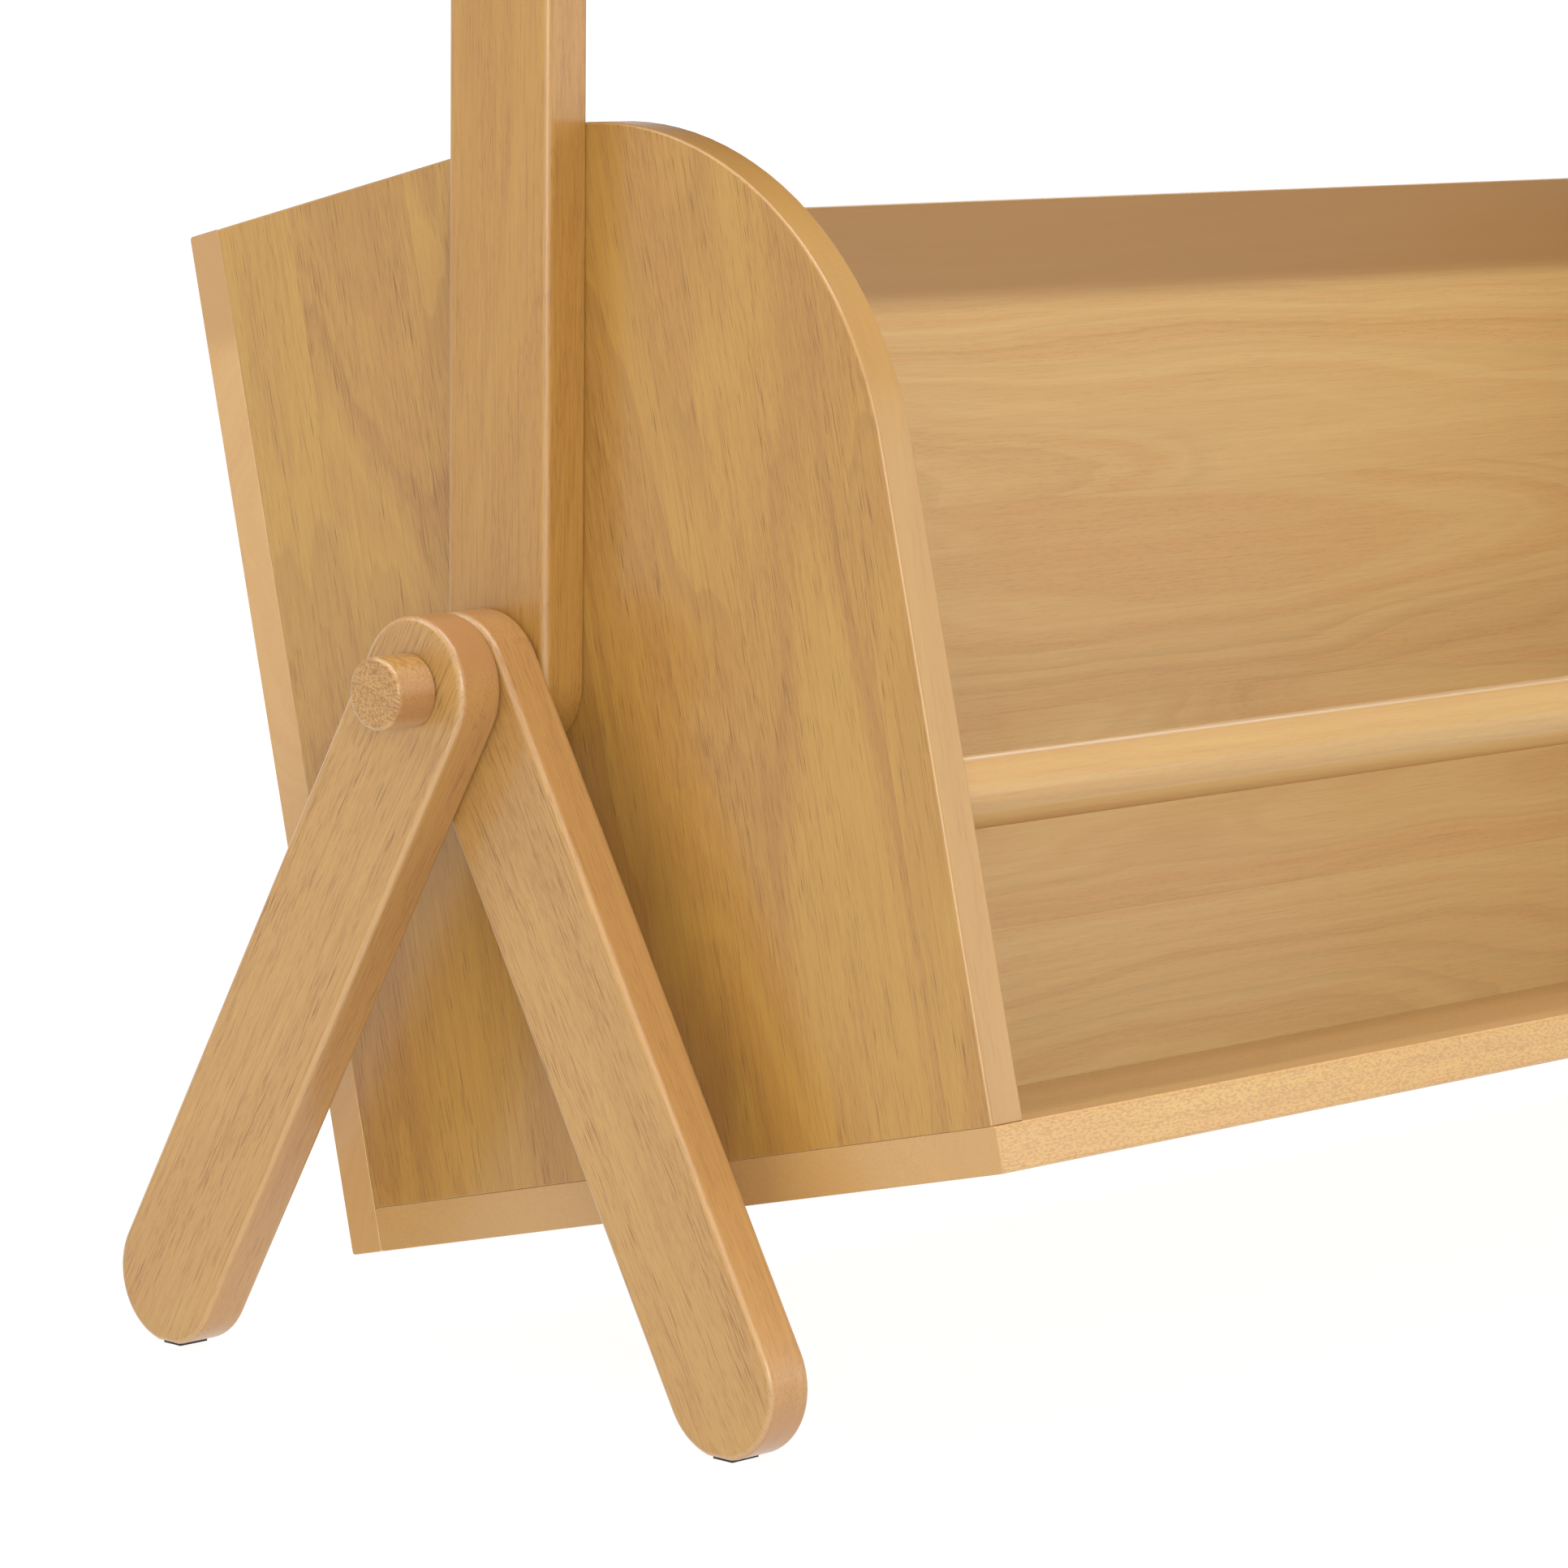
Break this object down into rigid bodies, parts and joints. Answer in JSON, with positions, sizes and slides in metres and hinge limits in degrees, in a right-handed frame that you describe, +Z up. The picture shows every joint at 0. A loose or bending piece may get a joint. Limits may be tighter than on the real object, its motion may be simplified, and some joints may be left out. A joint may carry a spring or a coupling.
{
  "type": "book rack",
  "caption": "Tilted wooden book rack: open troughs with dowel front rails, hung between posts on A-frame legs that fold about turned pegs.",
  "frame": {"origin": "on the floor, at the bottom centre of the bounding box", "axes": "+X along the rack to its right-hand end, -Y towards the front where books go in, +Z up"},
  "size_m": [1.0436, 0.3814, 0.7574],
  "materials": {
    "board_wood": "edge-glued pine board, honey-coloured clear satin lacquer, grain along each board",
    "leg_wood": "pine, honey-coloured clear satin lacquer, dark pore flecks along the grain, rounded arrises",
    "dowel_wood": "turned pine dowel, clear satin lacquer",
    "hardware_steel": "zinc-plated steel, satin",
    "insert_brass": "turned brass",
    "nylon": "natural nylon washer",
    "foot_pad": "thin dark anti-slip pad"
  },
  "bodies": {
    "rack": {"lower_end_panel_left": "board_wood", "lower_end_panel_right": "board_wood", "lower_back_board": "board_wood", "lower_bottom_board": "board_wood", "lower_front_rail": "dowel_wood", "lower_back_screws": "hardware_steel", "lower_bottom_screws": "hardware_steel", "upper_end_panel_left": "board_wood", "upper_end_panel_right": "board_wood", "upper_back_board": "board_wood", "upper_bottom_board": "board_wood", "upper_front_rail": "dowel_wood", "upper_back_screws": "hardware_steel", "upper_bottom_screws": "hardware_steel", "post_left": "leg_wood", "post_right": "leg_wood", "pivot_peg_left": "dowel_wood", "pivot_peg_right": "dowel_wood", "stop_pin_left": "hardware_steel", "stop_pin_right": "hardware_steel", "leaf_washers_left": "nylon", "leaf_washers_right": "nylon", "peg_insert_left": "insert_brass", "peg_insert_right": "insert_brass", "pivot_bolt_left": "hardware_steel", "pivot_bolt_right": "hardware_steel", "pivot_bolt_washer_left": "hardware_steel", "pivot_bolt_washer_right": "hardware_steel", "post_inserts_left": "insert_brass", "post_inserts_right": "insert_brass", "post_bolts_left": "hardware_steel", "post_bolts_right": "hardware_steel", "post_bolt_washers_left": "hardware_steel", "post_bolt_washers_right": "hardware_steel"},
    "front_leg_left": {"front_leg_left": "leg_wood", "front_foot_glide_left": "foot_pad"},
    "back_leg_left": {"back_leg_left": "leg_wood", "back_foot_glide_left": "foot_pad"},
    "front_leg_right": {"front_leg_right": "leg_wood", "front_foot_glide_right": "foot_pad"},
    "back_leg_right": {"back_leg_right": "leg_wood", "back_foot_glide_right": "foot_pad"}
  },
  "joints": [
    {"name": "front_leg_left_fold", "type": "hinge", "parent": "rack", "child": "front_leg_left", "pos_m": [-0.4776, 0.01892, 0.23668], "axis": [1, 0, 0], "range_deg": [0, 30]},
    {"name": "back_leg_left_fold", "type": "hinge", "parent": "rack", "child": "back_leg_left", "pos_m": [-0.4962, 0.01892, 0.23668], "axis": [-1, 0, 0], "range_deg": [0, 30]},
    {"name": "front_leg_right_fold", "type": "hinge", "parent": "rack", "child": "front_leg_right", "pos_m": [0.4776, 0.01892, 0.23668], "axis": [1, 0, 0], "range_deg": [0, 30]},
    {"name": "back_leg_right_fold", "type": "hinge", "parent": "rack", "child": "back_leg_right", "pos_m": [0.4962, 0.01892, 0.23668], "axis": [-1, 0, 0], "range_deg": [0, 30]}
  ]
}
